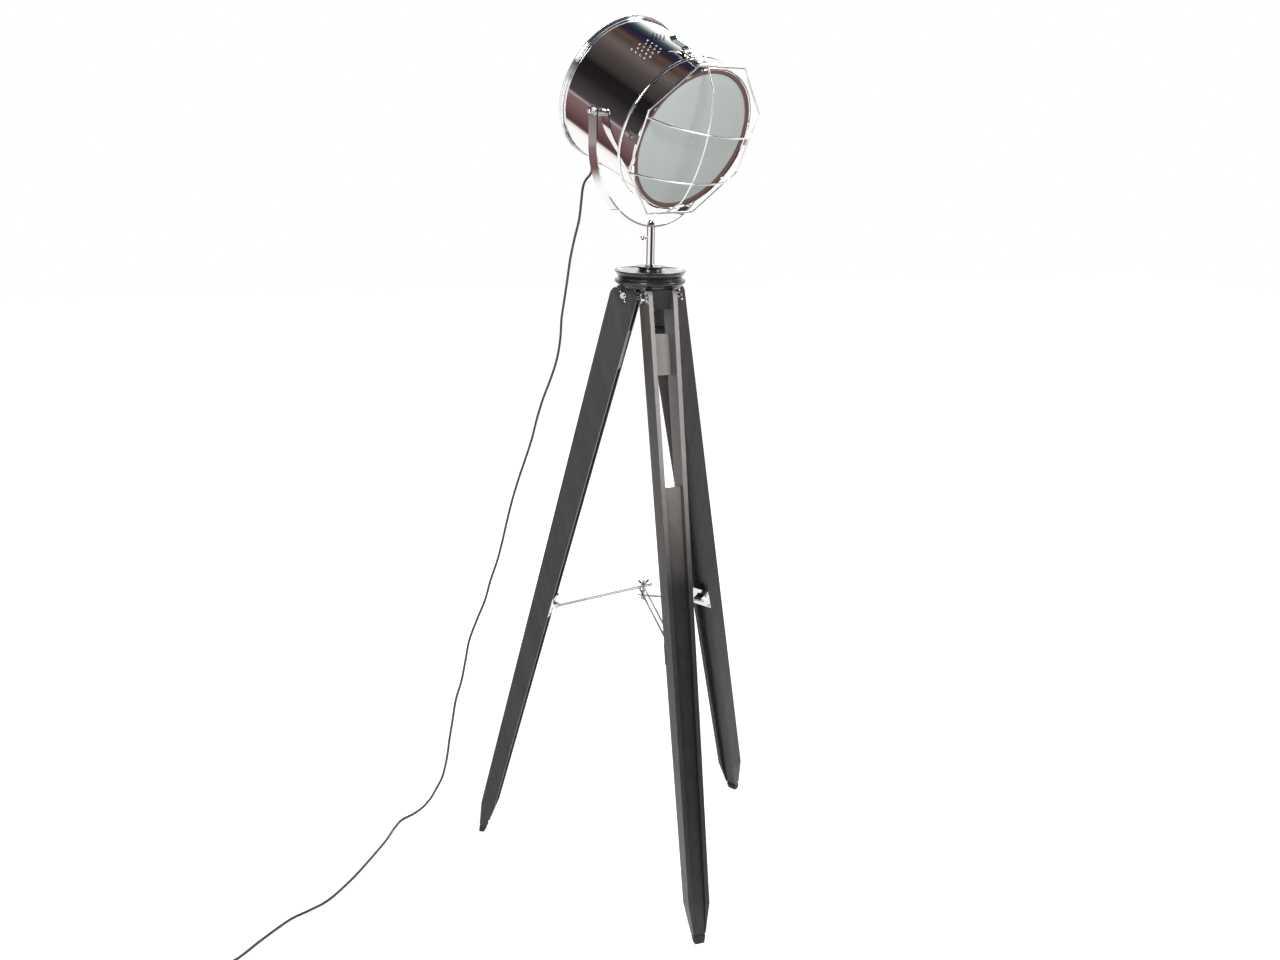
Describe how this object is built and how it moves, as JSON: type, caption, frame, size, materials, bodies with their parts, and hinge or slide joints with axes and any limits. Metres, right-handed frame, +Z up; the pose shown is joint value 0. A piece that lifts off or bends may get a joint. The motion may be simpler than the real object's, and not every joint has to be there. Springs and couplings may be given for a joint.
{
  "type": "tripod spotlight floor lamp",
  "caption": "Chromed drum spotlight with a hinged glass door and wire guard, in a flat-bar yoke on a folding tripod of black wooden legs.",
  "frame": {"origin": "middle of the footprint's bounding box, on the floor", "axes": "+Z up, the front leg points along -Y, the drum looks towards -Y and a little +X"},
  "size_m": [1.2249, 0.588, 1.5898],
  "materials": {
    "black_paint": "satin black lacquer",
    "dark_iron": "dark cast lugs",
    "steel": "plated steel fixings",
    "chrome": "bright chrome plate",
    "black_wood": "black-stained wood, grain showing",
    "dark_wood": "dark grey stained wood",
    "rubber": "black rubber",
    "cord": "dark brown flexible lead",
    "black_plastic": "moulded black plastic",
    "aluminium": "bright spun reflector",
    "ceramic": "glazed cream body",
    "bulb_glass": "opal glass",
    "frosted_glass": "frosted grey-green glass"
  },
  "bodies": {
    "cap": {"tripod_cap": "black_paint", "pole_flange": "black_paint", "hinge_lugs": "dark_iron", "leg_bolts": "steel", "pole_tube": "chrome", "cord_floor": "cord", "cord_coil": "cord", "plug": "black_plastic"},
    "leg_front": {"slat_a_front": "black_wood", "slat_b_front": "black_wood", "spacer_front": "dark_wood", "board_front": "dark_wood", "foot_front": "rubber", "bracket_front": "chrome", "bracket_fixings_front": "steel"},
    "leg_right": {"slat_a_right": "black_wood", "slat_b_right": "black_wood", "spacer_right": "dark_wood", "board_right": "dark_wood", "foot_right": "rubber", "bracket_right": "chrome", "bracket_fixings_right": "steel"},
    "leg_left": {"slat_a_left": "black_wood", "slat_b_left": "black_wood", "spacer_left": "dark_wood", "board_left": "dark_wood", "foot_left": "rubber", "bracket_left": "chrome", "bracket_fixings_left": "steel"},
    "nut_front": {"leg_nut_front": "chrome"},
    "nut_right": {"leg_nut_right": "chrome"},
    "nut_left": {"leg_nut_left": "chrome"},
    "stay_front": {"stay_bar_front": "chrome"},
    "stay_right": {"stay_bar_right": "chrome"},
    "stay_left": {"stay_bar_left": "chrome"},
    "hub": {"hub_bolt": "steel"},
    "hub_wing": {"hub_nut": "chrome"},
    "pan_lock": {"pan_screw": "chrome"},
    "yoke_frame": {"yoke": "chrome", "yoke_stem": "chrome", "yoke_nut": "chrome", "tilt_bolts": "steel", "cord_drop": "cord"},
    "drum": {"drum_shell": "chrome", "rear_cover": "chrome", "reflector": "aluminium", "lampholder": "ceramic", "bulb": "bulb_glass", "cord_gland": "black_plastic", "cord_lead": "cord", "tilt_bushes": "steel", "latch_base": "steel", "door_hinge": "steel"},
    "door": {"door_ring": "chrome", "glass": "frosted_glass", "glass_gasket": "rubber", "wire_guard": "chrome", "door_fittings": "steel"},
    "lever": {"latch_lever": "steel"},
    "loop": {"latch_loop": "steel"}
  },
  "joints": [
    {"name": "leg_front_fold", "type": "hinge", "parent": "cap", "child": "leg_front", "pos_m": [0, 0.0338, 1.117], "axis": [1, 0, 0], "range_deg": [0, 10]},
    {"name": "leg_right_fold", "type": "hinge", "parent": "cap", "child": "leg_right", "pos_m": [0.03681, 0.09755, 1.117], "axis": [-0.5, 0.866, 0], "range_deg": [0, 10]},
    {"name": "leg_left_fold", "type": "hinge", "parent": "cap", "child": "leg_left", "pos_m": [-0.03681, 0.09755, 1.117], "axis": [-0.5, -0.866, 0], "range_deg": [0, 10]},
    {"name": "stay_front_turn", "type": "hinge", "parent": "leg_front", "child": "stay_front", "pos_m": [0, -0.09503, 0.49756], "axis": [1, 0, 0], "range_deg": [-10, 0]},
    {"name": "stay_right_turn", "type": "hinge", "parent": "leg_right", "child": "stay_right", "pos_m": [0.1507, 0.16331, 0.48741], "axis": [-0.5, 0.866, 0], "range_deg": [-10, 0]},
    {"name": "stay_left_turn", "type": "hinge", "parent": "leg_left", "child": "stay_left", "pos_m": [-0.14604, 0.16062, 0.50771], "axis": [-0.5, -0.866, 0], "range_deg": [-10, 0]},
    {"name": "hub_slide", "type": "slide", "parent": "stay_front", "child": "hub", "axis": [0, -0.9511, -0.309], "range_m": [0, 0.1152]},
    {"name": "hub_nut_spin", "type": "hinge", "parent": "hub", "child": "hub_wing", "pos_m": [0, 0.0763, 0.55323], "axis": [0, 0, 1], "continuous": true},
    {"name": "leg_nut_front_spin", "type": "hinge", "parent": "cap", "child": "nut_front", "pos_m": [0, 0.0338, 1.117], "axis": [1, 0, 0], "continuous": true},
    {"name": "leg_nut_right_spin", "type": "hinge", "parent": "cap", "child": "nut_right", "pos_m": [0.03681, 0.09755, 1.117], "axis": [-0.5, 0.866, 0], "continuous": true},
    {"name": "leg_nut_left_spin", "type": "hinge", "parent": "cap", "child": "nut_left", "pos_m": [-0.03681, 0.09755, 1.117], "axis": [-0.5, -0.866, 0], "continuous": true},
    {"name": "pan_screw_spin", "type": "hinge", "parent": "cap", "child": "pan_lock", "pos_m": [0, 0.0763, 1.2172], "axis": [-0.9397, 0.342, 0], "continuous": true},
    {"name": "yoke_pan", "type": "hinge", "parent": "cap", "child": "yoke_frame", "pos_m": [0, 0.0763, 1.24], "axis": [0, 0, 1], "range_deg": [-90, 90]},
    {"name": "head_tilt", "type": "hinge", "parent": "yoke_frame", "child": "drum", "pos_m": [0, 0.0763, 1.43], "axis": [-0.9135, -0.4067, 0], "range_deg": [-20, 70]},
    {"name": "door_open", "type": "hinge", "parent": "drum", "child": "door", "pos_m": [0.02729, 0.07787, 1.28036], "axis": [0.9296, 0.3256, 0.1729], "range_deg": [0, 58]},
    {"name": "latch_lever_open", "type": "hinge", "parent": "drum", "child": "lever", "pos_m": [0.01842, -0.02794, 1.52724], "axis": [0.9296, 0.3256, 0.1729], "range_deg": [0, 110]},
    {"name": "latch_loop_swing", "type": "hinge", "parent": "lever", "child": "loop", "pos_m": [0.01622, -0.02233, 1.52853], "axis": [0.9296, 0.3256, 0.1729], "range_deg": [-110, 0]}
  ],
  "couplings": [
    {"joint": "leg_right_fold", "follows": "leg_front_fold", "ratio": 1},
    {"joint": "leg_left_fold", "follows": "leg_front_fold", "ratio": 1},
    {"joint": "stay_front_turn", "follows": "leg_front_fold", "ratio": -1},
    {"joint": "stay_right_turn", "follows": "leg_front_fold", "ratio": -1},
    {"joint": "stay_left_turn", "follows": "leg_front_fold", "ratio": -1},
    {"joint": "hub_slide", "follows": "leg_front_fold", "m_per_rad": 0.66},
    {"joint": "latch_loop_swing", "follows": "latch_lever_open", "ratio": -1}
  ]
}
